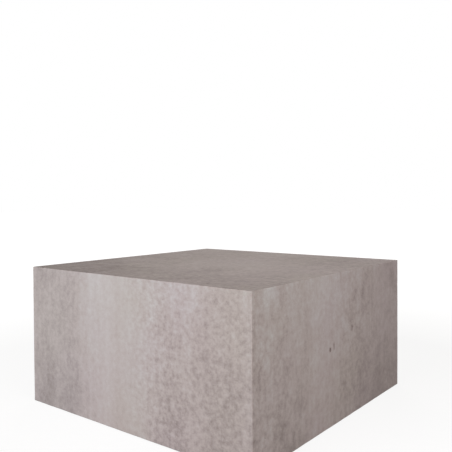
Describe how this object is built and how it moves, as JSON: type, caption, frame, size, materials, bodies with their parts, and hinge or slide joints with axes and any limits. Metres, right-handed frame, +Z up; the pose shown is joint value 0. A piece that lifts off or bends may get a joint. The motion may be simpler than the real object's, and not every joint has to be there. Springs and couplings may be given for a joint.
{
  "type": "column base block",
  "caption": "Plain square block of cast concrete that a column, post, urn or statue stands on, with flat faces and crisp arrises.",
  "frame": {"origin": "middle of the underside, on the floor that the block stands on", "axes": "+Z up through the middle of the block, +X to the right and -Y to the front, each square to a face"},
  "size_m": [0.4, 0.4, 0.2],
  "materials": {
    "cast_concrete": "fair-faced cast concrete, matt, warm grey with soft upright clouds and fine mottling"
  },
  "bodies": {
    "root": {"base_block": "cast_concrete"}
  },
  "joints": []
}
